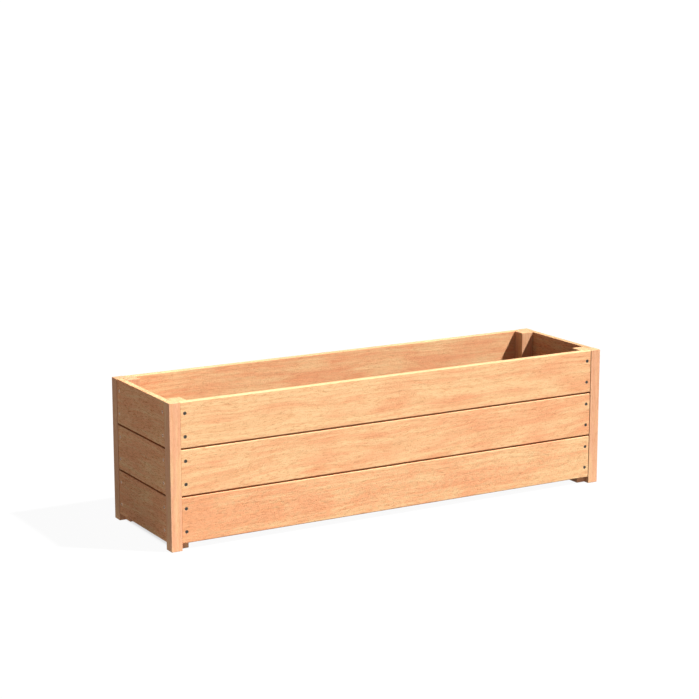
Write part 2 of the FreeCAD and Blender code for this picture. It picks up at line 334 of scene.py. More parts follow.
# A brown painted on faces along the gaps between boards and under them: painted shade.
GAP_SHADE_BROWN = srgb(172, 92, 42)
# The floor wood is painted this much darker all over: a painted shade that keeps the inside of the trough
# dim.
FLOOR_DARKENING = srgb(104, 96, 92)
print("honey in linear light is", [round(value, 2) for value in HONEY[:3]])

# %% Wood patterns
SEED_STEP = (1.73, 2.91, 4.37)
NOISE_MIDDLE = 0.5
WAVE_SIZE = (0.30, 0.12)
WAVE_THROUGH = 0.020
WAVE_ACROSS = 0.045
RING_SPACING = 0.011
RING_TAPER = (0.03, 1.0, 1.0)
RING_WANDER_SIZE = (0.50, 0.06)
RING_WANDER = 0.030
RING_STEP = (0.35, 1.0)
FINE_DETAIL = 3.0


def stretched_noise(nodes, place, length, width, detail=2.0, breakup=0.5):
    """Noise in long flecks: about that length along the grain, and that width through and across it."""
    squeezed = nodes.vector("MULTIPLY", place, (1 / length, 1 / width, 1 / width))
    return nodes.add("ShaderNodeTexNoise", sockets={
        "Vector": squeezed, "Scale": 1.0, "Detail": detail, "Roughness": breakup,
    })


def step_between(nodes, value, low, high):
    """A soft step: 0 under the low value, 1 over the high one."""
    return nodes.add("ShaderNodeMapRange", {"interpolation_type": "SMOOTHSTEP"}, {
        "Value": value, "From Min": low, "From Max": high,
    })


def mix_colours(nodes, share, first, second):
    """One colour where the share is 0, and another where it is 1."""
    sockets = {"Factor": share, "A": first, "B": second}
    return nodes.add("ShaderNodeMix", {"data_type": "RGBA"}, sockets, "Result")


def attribute(nodes, name, output):
    """An attribute that the pieces carry."""
    return nodes.add("ShaderNodeAttribute", {"attribute_name": name}, output=output)


def bent_grain(nodes, place, slant):
    """Places shifted sideways, by a slant and in slow waves, because no grain runs dead straight."""
    wave = stretched_noise(nodes, place, *WAVE_SIZE, detail=1.0) - NOISE_MIDDLE
    rise = slant * separate(nodes, place)[X]
    shift = nodes.add("ShaderNodeCombineXYZ", sockets={
        "Y": wave * WAVE_THROUGH, "Z": wave * WAVE_ACROSS - rise,
    })
    return nodes.vector("ADD", place, shift)


def growth_rings(nodes, place, bent):
    """Faint rings round the pith, which show as stripes on a face and as arcs on an end."""
    from_pith = nodes.vector("SUBTRACT", place, attribute(nodes, "pith", "Vector"))
    radius = nodes.vector("LENGTH", nodes.vector("MULTIPLY", from_pith, RING_TAPER), output="Value")
    wander = stretched_noise(nodes, bent, *RING_WANDER_SIZE, detail=1.0)
    turns = (radius + wander * RING_WANDER) / RING_SPACING
    return step_between(nodes, turns.math("FRACT", turns), *RING_STEP)


print("patterns ready")

# %% [markdown]
# The patterns are now put together. Honey and pink blend in patches, bands and streaks, and a board may
# drift from one to the other along its length. Late wood tints the rings, dense wood gathers in clusters
# of short flecks, and fine dark pores crowd in them. End grain and the tops of the upper boards are
# turned towards honey and a little darker, partly a painted tint that tones down the full light on those
# tops. Faces along the gaps between boards and under them are painted brown, a painted shade, and worn
# arrises are a little paler.
# The shader gets the same patterns for its roughness and its bump, so that a dark pore is also a rough,
# sunken one. First come the sizes of the patterns, along the grain and across it in metres, and then
# their shares in colour, lightness, roughness and height.

# %% Sizes and shares of the patterns
PATCH_SIZE = (0.14, 0.050)
BAND_SIZE = (0.45, 0.014)
STREAK_SIZE = (0.10, 0.0050)
CURL_SIZE = (0.017, 0.009)
FIBRE_SIZE = (0.060, 0.0009)
FLECK_SIZE = (0.022, 0.0027)
CROWD_SIZE = (0.09, 0.030)
SLIT_SIZE = (0.0065, 0.00055)
FLECK_DETAIL = 4.0
FLECK_BREAKUP = 0.65
CLUSTER_CROWDING = 0.10
CLUSTER_STEP = (0.46, 0.72)
PORE_CROWDING = 0.10
PORE_STEP = (0.60, 0.70)

PATCH_PINK, STREAK_PINK, CURL_PINK, END_AND_TOP_PINK = 2.2, 1.1, 2, 0.45
RING_TINT, END_RING_TINT = 0.25, 0.35
CLUSTER_TINT = 1.3
END_PORE_TINT = 0.35
WEAR_TINT = 0.15
GAP_SHADE_TINT = 0.5
STREAK_SHADE, CURL_SHADE, FIBRE_SHADE = 0.12, 0.5, 0.10
# How much darker end grain and the tops of the upper boards are painted, partly to tone down the full
# light on those tops.
END_AND_TOP_SHADE, END_SHADE = 0.08, 0.02
STREAK_ROUGHNESS, PORE_ROUGHNESS, END_ROUGHNESS = 0.25, 0.15, 0.10
STREAK_HEIGHT, FIBRE_HEIGHT, CURL_HEIGHT = 0.5, 0.2, 1.5
RING_DEPTH, CLUSTER_DEPTH, PORE_DEPTH = 0.2, 0.8, 0.25
BUMP_STRENGTH = 0.6
BUMP_DISTANCE = 0.0010
WOOD_GLOSS = 0.03
print(f"flecks about {FLECK_SIZE[0] * 1000:.0f} mm long, pores about {SLIT_SIZE[0] * 1000:.1f} mm")

# %% All the patterns of a piece
def wood_patterns(nodes, grain, seed, slant):
    """Patches, bands, streaks, curl, fibres, clusters, pores and rings, as values from 0 to 1."""
    place = nodes.vector("ADD", grain, nodes.vector("SCALE", SEED_STEP, seed))
    bent = bent_grain(nodes, place, slant)
    flecks = stretched_noise(nodes, bent, *FLECK_SIZE, detail=FLECK_DETAIL, breakup=FLECK_BREAKUP)
    crowded = stretched_noise(nodes, place, *CROWD_SIZE, detail=1.0)
    clusters = step_between(nodes, flecks + CLUSTER_CROWDING * (crowded - NOISE_MIDDLE), *CLUSTER_STEP)
    slits = stretched_noise(nodes, bent, *SLIT_SIZE, detail=1.0)
    return (
        stretched_noise(nodes, bent, *PATCH_SIZE),
        stretched_noise(nodes, bent, *BAND_SIZE),
        stretched_noise(nodes, bent, *STREAK_SIZE, detail=FINE_DETAIL),
        stretched_noise(nodes, bent, *CURL_SIZE, detail=FINE_DETAIL),
        stretched_noise(nodes, bent, *FIBRE_SIZE),
        clusters,
        step_between(nodes, slits + PORE_CROWDING * clusters, *PORE_STEP),
        growth_rings(nodes, grain, bent),
    )


print(f"the longest patterns are bands, about {BAND_SIZE[0] * 1000:.0f} mm long")

# %% Wood finish
def wood(name, base_roughness, blush=BLUSH, all_over_darkening=WHITE):
    """A planed hardwood that reads the attributes of the pieces. A darkening colour multiplies it all
    over.
    """
    material, nodes = new_material(name)
    grain = attribute(nodes, "grain", "Vector")
    tone, pinkness, seed = separate(nodes, attribute(nodes, "character", "Vector"))
    slant, curly, porous = separate(nodes, attribute(nodes, "figure", "Vector"))
    labels = ("wear", "end_grain", "inside", "grime", "bleach", "drift")
    wear, end_grain, inside, grime, bleach, slope = (attribute(nodes, label, "Fac") for label in labels)
    drift = slope * separate(nodes, grain)[X]
    patterns = wood_patterns(nodes, grain, seed, slant)
    patches, bands, streaks, curl, fibres, clusters, pores, rings = patterns
    streaky = streaks - NOISE_MIDDLE
    rippled = curly * (curl - NOISE_MIDDLE)

    # End grain and the tops of the upper boards are turned towards honey, and further down made a little
    # darker: partly a painted tint for the full light on those tops.
    pink = pinkness + drift - END_AND_TOP_PINK * bleach + PATCH_PINK * (patches + bands - 2 * NOISE_MIDDLE)
    pink = pink + STREAK_PINK * streaky + CURL_PINK * rippled
    colour = mix_colours(nodes, pink, HONEY, blush)
    colour = mix_colours(nodes, (RING_TINT + END_RING_TINT * end_grain) * rings, colour, LATE_WOOD)
    colour = mix_colours(nodes, CLUSTER_TINT * porous * clusters, colour, DENSE_WOOD)
    colour = mix_colours(nodes, (porous + END_PORE_TINT * end_grain) * pores, colour, PORE)
    colour = mix_colours(nodes, WEAR_TINT * wear, colour, WORN_ARRIS)
    # Painted shade: faces that look down, or up into a gap under another board, turn brown.
    colour = mix_colours(nodes, GAP_SHADE_TINT * grime, colour, GAP_SHADE_BROWN)
    ripple = STREAK_SHADE * streaky + CURL_SHADE * rippled + FIBRE_SHADE * (fibres - NOISE_MIDDLE)
    # Inner faces are painted darker here: painted shade.
    level = tone + ripple - END_AND_TOP_SHADE * bleach - END_SHADE * end_grain - inside
    colour = nodes.vector("MULTIPLY", nodes.vector("SCALE", colour, level), all_over_darkening[:3])

    roughness = base_roughness + STREAK_ROUGHNESS * streaky
    roughness = roughness + PORE_ROUGHNESS * pores + END_ROUGHNESS * end_grain
    height = STREAK_HEIGHT * streaks + FIBRE_HEIGHT * fibres - RING_DEPTH * rings
    height = height + CURL_HEIGHT * curly * curl - CLUSTER_DEPTH * porous * clusters - PORE_DEPTH * pores
    bump = nodes.add("ShaderNodeBump", sockets={
        "Strength": BUMP_STRENGTH, "Distance": BUMP_DISTANCE, "Height": height,
    })
    surface = nodes.add("ShaderNodeBsdfPrincipled", sockets={
        "Base Color": colour, "Roughness": roughness, "Normal": bump, "Specular IOR Level": WOOD_GLOSS,
    })
    nodes.add("ShaderNodeOutputMaterial", sockets={"Surface": surface})
    return material


FINISHES = {
    "board_wood": wood("board_wood", 0.58),
    "post_wood": wood("post_wood", 0.55, blush=POST_BLUSH),
    # The floor wood is darkened all over: a painted shade for the dim inside of the trough, which also
    # bounces less light onto the walls.
    "floor_wood": wood("floor_wood", 0.70, all_over_darkening=FLOOR_DARKENING),
}
print("finishes:", ", ".join(FINISHES))

# %% [markdown]
# ## Screw steel
#
# Most screws are dull, dark steel. Those of the two end walls are painted paler and warmer, with blotches
# of near white where the others are worn: a painted highlight that stands for glints. An attribute on the
# screws says which. A metal shows what is round it, so much of its look comes from the roughness. Where
# the steel is worn it is paler and smoother, and fine specks make it uneven all over.

# %% Screw steel
DULL_STEEL, DULL_WORN = srgb(88, 84, 78), srgb(112, 106, 98)
# A paler, warmer steel for the screws of the end walls, near white in its blotches: a painted highlight.
WARM_STEEL, WARM_GLINT = srgb(138, 104, 80), srgb(236, 204, 176)
BLOTCHES_PER_METRE = 420.0
SPECKS_PER_METRE = 2600.0
WEAR_AND_GLINT_STEP = (0.46, 0.72)
STEEL_ROUGHNESS = 0.46
WEAR_AND_GLINT_SMOOTHNESS = 0.14
SPECK_ROUGHNESS = 0.20
SPECK_STRENGTH = 0.2
SPECK_DISTANCE = 0.0001


def screw_steel():
    """Dull steel with blotches of wear, and a paler, warmer copy with painted highlights for the end
    walls.
    """
    material, nodes = new_material("screw_steel")
    place = nodes.add("ShaderNodeTexCoord", output="Object")
    blotches, specks = (
        nodes.add("ShaderNodeTexNoise", sockets={"Vector": place, "Scale": scale, "Detail": detail})
        for scale, detail in ((BLOTCHES_PER_METRE, FINE_DETAIL), (SPECKS_PER_METRE, 2.0))
    )
    # Blotches of wear on the dull steel. On the end-wall screws the same blotches are painted glints.
    wear_and_glints = step_between(nodes, blotches, *WEAR_AND_GLINT_STEP)
    dull = mix_colours(nodes, wear_and_glints, DULL_STEEL, DULL_WORN)
    warm = mix_colours(nodes, wear_and_glints, WARM_STEEL, WARM_GLINT)
    colour = mix_colours(nodes, attribute(nodes, "polish", "Fac"), dull, warm)
    roughness = STEEL_ROUGHNESS - WEAR_AND_GLINT_SMOOTHNESS * wear_and_glints + SPECK_ROUGHNESS * (specks - NOISE_MIDDLE)
    bump = nodes.add("ShaderNodeBump", sockets={
        "Strength": SPECK_STRENGTH, "Distance": SPECK_DISTANCE, "Height": specks,
    })
    surface = nodes.add("ShaderNodeBsdfPrincipled", sockets={
        "Base Color": colour, "Metallic": 1.0, "Roughness": roughness, "Normal": bump,
    })
    nodes.add("ShaderNodeOutputMaterial", sockets={"Surface": surface})
    return material


FINISHES["screw_steel"] = screw_steel()
print("finishes:", ", ".join(FINISHES))

# %% [markdown]
# ## Patterns that are cut and driven
#
# Three small turned shapes are used many times: the screw itself, the cutter that sinks a round seat for
# its head into a board, and the cutter for the hole that it is driven into. All are rings of points round
# an axis, joined by faces. A ring's radius may change with the angle, and that makes the six-lobed drive
# recess and the thread. They point along +Y, into the wood, with the board's face at y = 0.

# %% Turned shapes
HEAD_RADIUS = 0.0054
HEAD_RIM = 0.0003
HEAD_SINK = 0.0003
CORE_RADIUS = 0.002
HOLE_RADIUS = 0.00275
SEAT_RADIUS = 0.0061
THREAD_PITCH = 0.0024
THREAD_RIDGE = 0.0005
THREAD_RINGS_PER_TURN = 4
RIDGE_STEEPNESS = 4
TIP_TAPER = 5
PILOT_CLEARANCE = 0.0001
RECESS_RADIUS = 0.0022
RECESS_FLOOR_RADIUS = RECESS_RADIUS / 3
RECESS_LOBE = 0.0004
RECESS_DEPTH = 0.0020
RECESS_TAPER = 0.9
LOBES = 6
TURNED_STEPS = 36
CUT_MARGIN = 0.001


def turned_mesh(name, rings):
    """A closed mesh through rings: each is a depth, and a function that gives the radius at an angle."""
    shape = bmesh.new()
    loops = []
    for depth, radius_at in rings:
        loop = []
        for step in range(TURNED_STEPS):
            angle = 2 * math.pi * step / TURNED_STEPS
            radius = radius_at(angle)
            loop.append(shape.verts.new((radius * math.cos(angle), depth, radius * math.sin(angle))))
        loops.append(loop)
    for near, far in zip(loops, loops[1:]):
        for step in range(TURNED_STEPS):
            following = (step + 1) % TURNED_STEPS
            shape.faces.new((near[step], near[following], far[following], far[step]))
    shape.faces.new(loops[0])
    shape.faces.new(loops[-1])
    bmesh.ops.recalc_face_normals(shape, faces=shape.faces)
    mesh = bpy.data.meshes.new(name)
    shape.to_mesh(mesh)
    shape.free()
    return mesh


def plain(radius):
    """The same radius all round."""
    return lambda angle: radius


def lobed(radius):
    """A radius that swells at each lobe of the drive recess."""
    return lambda angle: radius + RECESS_LOBE * math.cos(LOBES * angle)


def threaded(depth):
    """A radius that rises to a ridge once in each turn, further round as the depth grows."""
    def radius_at(angle):
        phase = (depth / THREAD_PITCH - angle / (2 * math.pi)) % 1
        return CORE_RADIUS + THREAD_RIDGE * max(0, 1 - RIDGE_STEEPNESS * abs(phase - 0.5))
    return radius_at


print(f"a turned ring has {TURNED_STEPS} points")

# %% Rings of screws and cutters
def screw_rings(length, thread_start):
    """Rings of a screw, from the bottom of its drive recess, over the head and down to the point."""
    rim = HEAD_SINK + HEAD_RIM
    head_end = rim + HEAD_RADIUS - CORE_RADIUS
    bevel = HEAD_RIM / 2
    rings = [
        (HEAD_SINK + RECESS_DEPTH, plain(RECESS_FLOOR_RADIUS)),
        (HEAD_SINK + RECESS_DEPTH * RECESS_TAPER, lobed(RECESS_RADIUS * RECESS_TAPER)),
        (HEAD_SINK, lobed(RECESS_RADIUS)),
        (HEAD_SINK, plain(HEAD_RADIUS - bevel)),
        (HEAD_SINK + bevel, plain(HEAD_RADIUS)),
        (rim, plain(HEAD_RADIUS)),
        (head_end, plain(CORE_RADIUS)),
        (thread_start, plain(CORE_RADIUS)),
    ]
    point = length - 2 * CORE_RADIUS
    spacing = THREAD_PITCH / THREAD_RINGS_PER_TURN
    count = math.floor((point - thread_start) / spacing)
    depths = [thread_start + spacing * step for step in range(1, count)]
    rings += [(depth, threaded(depth)) for depth in depths]
    return rings + [(point, plain(CORE_RADIUS)), (length, plain(CORE_RADIUS / TIP_TAPER))]


def seat_rings(depth):
    """Rings of a cutter that goes through wood of that thickness and sinks a seat for a head."""
    return [
        (-CUT_MARGIN, plain(SEAT_RADIUS + CUT_MARGIN)),
        (SEAT_RADIUS - HOLE_RADIUS, plain(HOLE_RADIUS)),
        (depth + CUT_MARGIN, plain(HOLE_RADIUS)),
    ]


def pilot_rings(length):
    """Rings of a cutter for the hole that a screw of that length is driven into."""
    radius = CORE_RADIUS + THREAD_RIDGE + PILOT_CLEARANCE
    return [
        (-CUT_MARGIN, plain(radius)),
        (length, plain(radius)),
        (length + CUT_MARGIN, plain(radius / TIP_TAPER)),
    ]


print(f"a thread has {THREAD_RINGS_PER_TURN} rings in each turn")

# %% Screws and cutters to copy from
HELPERS = []


def helper(name, mesh):
    """An object that is only copied from, and removed at the end."""
    made = add_object(name, mesh)
    HELPERS.append(made)
    return made


def pattern(name, rings):
    """A turned shape to copy from."""
    return helper(name, turned_mesh(name, rings))


def thickness_of(node, axis):
    """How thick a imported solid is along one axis."""
    low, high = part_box(node)
    return high[axis] - low[axis]


board_thickness = thickness_of("front_board_upper", Y)
bearer_thickness = thickness_of("floor_bearer_front", Y)
wall_screw_length = thickness_of("front_screws", Y) + HEAD_SINK
bearer_screw_length = thickness_of("floor_bearer_front_screws", Y) + HEAD_SINK
board_cutter = pattern("board_cutter", seat_rings(board_thickness))
bearer_cutter = pattern("bearer_cutter", seat_rings(bearer_thickness))
wall_screw = pattern("wall_screw", screw_rings(wall_screw_length, board_thickness))
bearer_screw = pattern("bearer_screw", screw_rings(bearer_screw_length, bearer_thickness))
wall_pilot = pattern("wall_pilot", pilot_rings(wall_screw_length))
bearer_pilot = pattern("bearer_pilot", pilot_rings(bearer_screw_length))
screw_faces = len(wall_screw.data.polygons)
print(f"a wall screw is {wall_screw_length * 1000:.0f} mm long and has {screw_faces} faces")

# %% [markdown]
# ## Timber
#
# Boards, slats, bearers and posts are all made the same way in a workshop: a section is planed along a
# length, the arrises are eased, the ends are trimmed and holes are bored. One Geometry Nodes tree does
# the same. It takes the corners of a section, rounds them, sweeps them along the piece, draws in both
# ends, cuts the screw seats, the notches and the holes that screws are driven into, and writes the
# attributes that the wood reads. Sizes are inputs of the tree, so one tree serves every piece.

# %% Inputs of the timber tree
FILLET_STEPS = 5
BAR_RINGS = 4
SHARP_ANGLE = math.radians(35)
FULL_WEAR = 0.29
UNDERSIDE = -0.3
TOPSIDE = 0.95
TIMBER_INPUTS = {
    "Section": "Geometry",
    "Length": "Float",
    "Edge Radius": "Float",
    "End Arris": "Float",
    "Cut Places": "Object",
    "Cutter": "Object",
    "Pilot Places": "Object",
    "Pilot": "Object",
    "Pith": "Vector",
    "Character": "Vector",
    "Figure": "Vector",
    "Drift": "Float",
    "Inside": "Vector",
    "Edges": "Vector",
    "Turn": "Vector",
    "Place": "Vector",
    "Finish": "Material",
}
print(f"the timber tree takes {len(TIMBER_INPUTS)} inputs")

# %% Sweep
def new_tree(name, inputs):
    """A Geometry Nodes tree with named inputs and one output."""
    tree = bpy.data.node_groups.new(name, "GeometryNodeTree")
    for label, kind in inputs.items():
        tree.interface.new_socket(name=label, in_out="INPUT", socket_type="NodeSocket" + kind)
    tree.interface.new_socket(name="Geometry", in_out="OUTPUT", socket_type="NodeSocketGeometry")
    return tree, Nodes(tree)


def swept_bar(nodes):
    """The section along the length, with its corners rounded and both ends drawn in by the arris."""
    length, arris = nodes.given("Length"), nodes.given("End Arris")
    loop = nodes.add("GeometryNodeMeshToCurve", sockets={"Mesh": nodes.given("Section")})
    section = nodes.add("GeometryNodeFilletCurve", {"mode": "POLY"}, {
        "Curve": loop, "Count": FILLET_STEPS, "Radius": nodes.given("Edge Radius"),
    })
    index = nodes.add("GeometryNodeInputIndex")
    along = arris + (index - 1.0) * (length - 2 * arris)
    stop = nodes.add("ShaderNodeCombineXYZ", sockets={"X": along.between(0.0, length)})
    line = nodes.add("GeometryNodeMeshLine", sockets={"Count": BAR_RINGS})
    line = nodes.add("GeometryNodeSetPosition", sockets={"Geometry": line, "Position": stop})
    path = nodes.add("GeometryNodeMeshToCurve", sockets={"Mesh": line})
    bar = nodes.add("GeometryNodeCurveToMesh", sockets={
        "Curve": path, "Profile Curve": section, "Fill Caps": True,
    })
    x = separate(nodes, nodes.add("GeometryNodeInputPosition"))[X]
    from_middle = x.math("ABSOLUTE", x - length / 2)
    at_end = x.math("GREATER_THAN", from_middle, length / 2 - arris / 2)
    sideways = nodes.vector("MULTIPLY", nodes.add("GeometryNodeInputNormal"), (0.0, 1.0, 1.0))
    inset = nodes.vector("SCALE", nodes.vector("NORMALIZE", sideways), 0 - arris)
    return nodes.add("GeometryNodeSetPosition", sockets={
        "Geometry": bar, "Selection": at_end, "Offset": inset,
    })


print(f"a bar has {BAR_RINGS} rings")

# %% Cuts and shading
def shape_of(nodes, name):
    """The mesh of the object that is given as an input."""
    return nodes.add("GeometryNodeObjectInfo", sockets={"Object": nodes.given(name)}, output="Geometry")


def with_cuts(nodes, bar, places, cutter):
    """The bar less a copy of the cutter input at each point of the places input, turned as it says."""
    turn = nodes.add("GeometryNodeInputNamedAttribute", {"data_type": "FLOAT_VECTOR"}, {
        "Name": "turn",
    }, "Attribute")
    cutters = nodes.add("GeometryNodeInstanceOnPoints", sockets={
        "Points": shape_of(nodes, places), "Instance": shape_of(nodes, cutter), "Rotation": turn,
    })
    cutters = nodes.add("GeometryNodeRealizeInstances", sockets={"Geometry": cutters})
    return nodes.add("GeometryNodeMeshBoolean", {"operation": "DIFFERENCE", "solver": "EXACT"}, {
        "Mesh 1": bar, "Mesh 2": cutters,
    })


def shaded(nodes, mesh):
    """Smooth shading everywhere except across sharp edges."""
    smooth = nodes.add("GeometryNodeSetShadeSmooth", {"domain": "FACE"}, {
        "Geometry": mesh, "Shade Smooth": True,
    })
    angle = nodes.add("GeometryNodeInputMeshEdgeAngle", output="Unsigned Angle")
    sharp = angle.math("GREATER_THAN", angle, SHARP_ANGLE)
    return nodes.add("GeometryNodeSetShadeSmooth", {"domain": "EDGE"}, {
        "Geometry": smooth, "Selection": sharp, "Shade Smooth": False,
    })


print(f"edges over {math.degrees(SHARP_ANGLE):.0f} degrees stay sharp")

# %% Timber attributes and the finished tree
def stored(nodes, geometry, name, kind, domain, value):
    """The geometry with a value stored under a name."""
    return nodes.add("GeometryNodeStoreNamedAttribute", {"data_type": kind, "domain": domain}, {
        "Geometry": geometry, "Name": name, "Value": value,
    })


def with_attributes(nodes, bar):
    """Writes what the wood reads: each point's place, what wood it is, and which way each face looks."""
    normal = nodes.add("GeometryNodeInputNormal")
    along, through, across = separate(nodes, nodes.vector("ABSOLUTE", normal))
    squarest = along.math("MAXIMUM", along, through.math("MAXIMUM", through, across))
    inwards = nodes.vector("DOT_PRODUCT", normal, nodes.given("Inside"), "Value")
    under_gap_shade, over_gap_shade, bleach = separate(nodes, nodes.given("Edges"))
    rise = separate(nodes, normal)[Z]
    under = rise.math("LESS_THAN", rise, UNDERSIDE)
    over = rise.math("GREATER_THAN", rise, TOPSIDE)
    fields = (
        ("grain", "FLOAT_VECTOR", "POINT", nodes.add("GeometryNodeInputPosition")),
        ("pith", "FLOAT_VECTOR", "POINT", nodes.given("Pith")),
        ("character", "FLOAT_VECTOR", "POINT", nodes.given("Character")),
        ("figure", "FLOAT_VECTOR", "POINT", nodes.given("Figure")),
        ("drift", "FLOAT", "POINT", nodes.given("Drift")),
        ("end_grain", "FLOAT", "FACE", along),
        # Painted shade on faces that look into the trough.
        ("inside", "FLOAT", "FACE", inwards.math("MAXIMUM", inwards, 0.0)),
        # Painted shade on faces that look down and on tops that lie in a gap under another board.
        ("grime", "FLOAT", "FACE", under_gap_shade * under + over_gap_shade * over),
        # End grain, and the tops of the upper boards, which face the lamp: partly a painted tint for their
        # full light.
        ("bleach", "FLOAT", "FACE", along.math("MAXIMUM", along, bleach * over)),
        ("wear", "FLOAT", "FACE", along.math("MINIMUM", (1 - squarest) / FULL_WEAR, 1.0)),
    )
    for field in fields:
        bar = stored(nodes, bar, *field)
    return bar


def finish_tree(nodes, geometry, finish):
    """Real geometry with a material, at the output of a tree."""
    real = nodes.add("GeometryNodeRealizeInstances", sockets={"Geometry": geometry})
    painted = nodes.add("GeometryNodeSetMaterial", sockets={"Geometry": real, "Material": finish})
    nodes.add("NodeGroupOutput", sockets={"Geometry": painted})


def timber_tree():
    """The tree that makes any piece of timber."""
    tree, nodes = new_tree("timber", TIMBER_INPUTS)
    bar = with_cuts(nodes, swept_bar(nodes), "Cut Places", "Cutter")
    bar = with_cuts(nodes, bar, "Pilot Places", "Pilot")
    bar = with_attributes(nodes, shaded(nodes, bar))
    laid = nodes.add("GeometryNodeTransform", sockets={
        "Geometry": bar, "Translation": nodes.given("Place"), "Rotation": nodes.given("Turn"),
    })
    finish_tree(nodes, laid, nodes.given("Finish"))
    return tree


TIMBER = timber_tree()
print(f"the timber tree has {len(TIMBER.nodes)} nodes")

# %% [markdown]
# ## From a tree to a plain mesh
#
# A modifier runs the tree on an object. Its result is then copied into a plain mesh and the modifier is
# removed, so the piece can be exported and measured like any other. Weighted normals keep the wide faces
# looking flat right up to the rounded edges. A piece's own axes, along the grain, into the wood and
# across it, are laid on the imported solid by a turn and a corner.

# %% Making pieces
def run_tree(name, tree, mesh, values):
    """An object with the plain mesh that the tree makes from those values."""
    piece = add_object(name, mesh)
    modifier = piece.modifiers.new("shape", "NODES")
    modifier.node_group = tree
    for item in tree.interface.items_tree:
        if item.name in values:
            modifier[item.identifier] = values[item.name]
    weighted = piece.modifiers.new("weighted_normals", "WEIGHTED_NORMAL")
    weighted.keep_sharp = True
    depsgraph = bpy.context.evaluated_depsgraph_get()
    made = bpy.data.meshes.new_from_object(
        piece.evaluated_get(depsgraph), preserve_all_data_layers=True, depsgraph=depsgraph,
    )
    piece.modifiers.clear()
    piece.data = made
    made.name = name
    return piece


def face_count(pieces):
    """The faces of all those pieces."""
    return sum(len(piece.data.polygons) for piece in pieces)


def take_place(piece, node):
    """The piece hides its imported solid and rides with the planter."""
    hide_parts(node)
    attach(piece, "root")


class Lay:
    """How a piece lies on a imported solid: its turn, its corner, and its length, thickness and width."""

    def __init__(self, node, along, inward):
        across = along.cross(inward)
        low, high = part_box(node)
        heading = along + inward + across
        self.turn = Matrix((along, inward, across)).transposed()
        self.corner = Vector([low[axis] if heading[axis] > 0 else high[axis] for axis in (X, Y, Z)])
        self.sizes = [abs(size) for size in self.turn.transposed() @ (high - low)]

    def place(self, point):
        """A point of the piece, in the planter's frame."""
        return self.corner + self.turn @ Vector(point)


RIGHT, LEFT = Vector((1, 0, 0)), Vector((-1, 0, 0))
BACK, FRONT = Vector((0, 1, 0)), Vector((0, -1, 0))
UP = Vector((0, 0, 1))
print("front boards measure", [round(size, 4) for size in Lay("front_board_upper", RIGHT, BACK).sizes])

# %% Sections and cut places
def loop_mesh(name, corners):
    """A closed loop through corners given into and across the piece. A sweep along X turns it round."""
    points = [(-inward, -across, 0) for inward, across in corners]
    count = len(points)
    return new_mesh(name, points, edges=[(index, (index + 1) % count) for index in range(count)])


def cut_places(name, points, turns=()):
    """A helper with points that carry cutters, each with a turn if turns are given."""
    mesh = new_mesh(name, points)
    if turns:
        mesh.attributes.new("turn", "FLOAT_VECTOR", "POINT")
    for point, turn in enumerate(turns):
        mesh.attributes["turn"].data[point].vector = turn
    return helper(name, mesh)


NOWHERE = cut_places("no_cuts", [])
print("sections and cut places ready")

# %% [markdown]
# ## Where the screws go
#
# Each end of a wall board has two screws, and each bearer has three. Their places are worked out before
# any wood is made, because a screw shapes two pieces: it needs a seat in the one that it goes through,
# and a hole in the one that its point ends in.

# %% Screw places
ROWS = ("lower", "middle", "upper")
WALLS = {
    "front": (RIGHT, BACK),
    "right_end": (BACK, LEFT),
    "back": (LEFT, FRONT),
    "left_end": (FRONT, RIGHT),
}
BEARERS = {"floor_bearer_front": (LEFT, FRONT), "floor_bearer_back": (RIGHT, BACK)}
SCREW_END_DISTANCE = 0.015
SCREW_EDGE_DISTANCE = 0.036
BEARER_SCREW_END = 0.120


def board_seats(length, width):
    """Two screws at each end of a board, on its outer face."""
    return [
        (along, 0, across)
        for along in (SCREW_END_DISTANCE, length - SCREW_END_DISTANCE)
        for across in (SCREW_EDGE_DISTANCE, width - SCREW_EDGE_DISTANCE)
    ]


def bearer_seats(length, width):
    """One screw near each end of a bearer and one in the middle, on its inner face."""
    return [(along, 0, width / 2) for along in (BEARER_SCREW_END, length / 2, length - BEARER_SCREW_END)]


seats = {}
driven = {}
for wall, (along, inward) in WALLS.items():
    driven[wall] = []
    for row in ROWS:
        node = f"{wall}_board_{row}"
        lay = Lay(node, along, inward)
        seats[node] = board_seats(lay.sizes[X], lay.sizes[Z])
        driven[wall] += [lay.place(point) for point in seats[node]]
for node, (along, inward) in BEARERS.items():
    lay = Lay(node, along, inward)
    seats[node] = bearer_seats(lay.sizes[X], lay.sizes[Z])
    driven[node] = [lay.place(point) for point in seats[node]]
print(f"{sum(len(points) for points in driven.values())} screws")

# %% Pilot holes and timber
SCREW_KINDS = ((WALLS, wall_screw_length, wall_pilot), (BEARERS, bearer_screw_length, bearer_pilot))
PLANK_END_ARRIS = 0.0008


def pilot_holes(node, lay):
    """The places and turns of the holes for the screws that end in a piece, and the cutter for them."""
    low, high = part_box(node)
    for group, length, pilot in SCREW_KINDS:
        holes = [
            (lay.turn.transposed() @ (point - lay.corner), lay.turn.transposed() @ inward)
            for name, (_, inward) in group.items()
            for point in driven[name]
            if all(low[axis] < (point + length * inward)[axis] < high[axis] for axis in (X, Y, Z))
        ]
        if holes:
            turns = [BACK.rotation_difference(direction).to_euler() for _, direction in holes]
            return cut_places("pilots_" + node, [place for place, _ in holes], turns), pilot
    return NOWHERE, wall_pilot


def make_timber(node, lay, corners, values, slot):
    """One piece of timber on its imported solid."""
    values = dict(values)
    values["Pilot Places"], values["Pilot"] = pilot_holes(node, lay)
    values["Length"] = lay.sizes[X]
    values["Turn"] = tuple(lay.turn.to_euler())
    values["Place"] = tuple(lay.corner)
    values["Finish"] = FINISHES[slot]
    piece = run_tree("made_" + node, TIMBER, loop_mesh(node, corners), values)
    take_place(piece, node)
    return piece


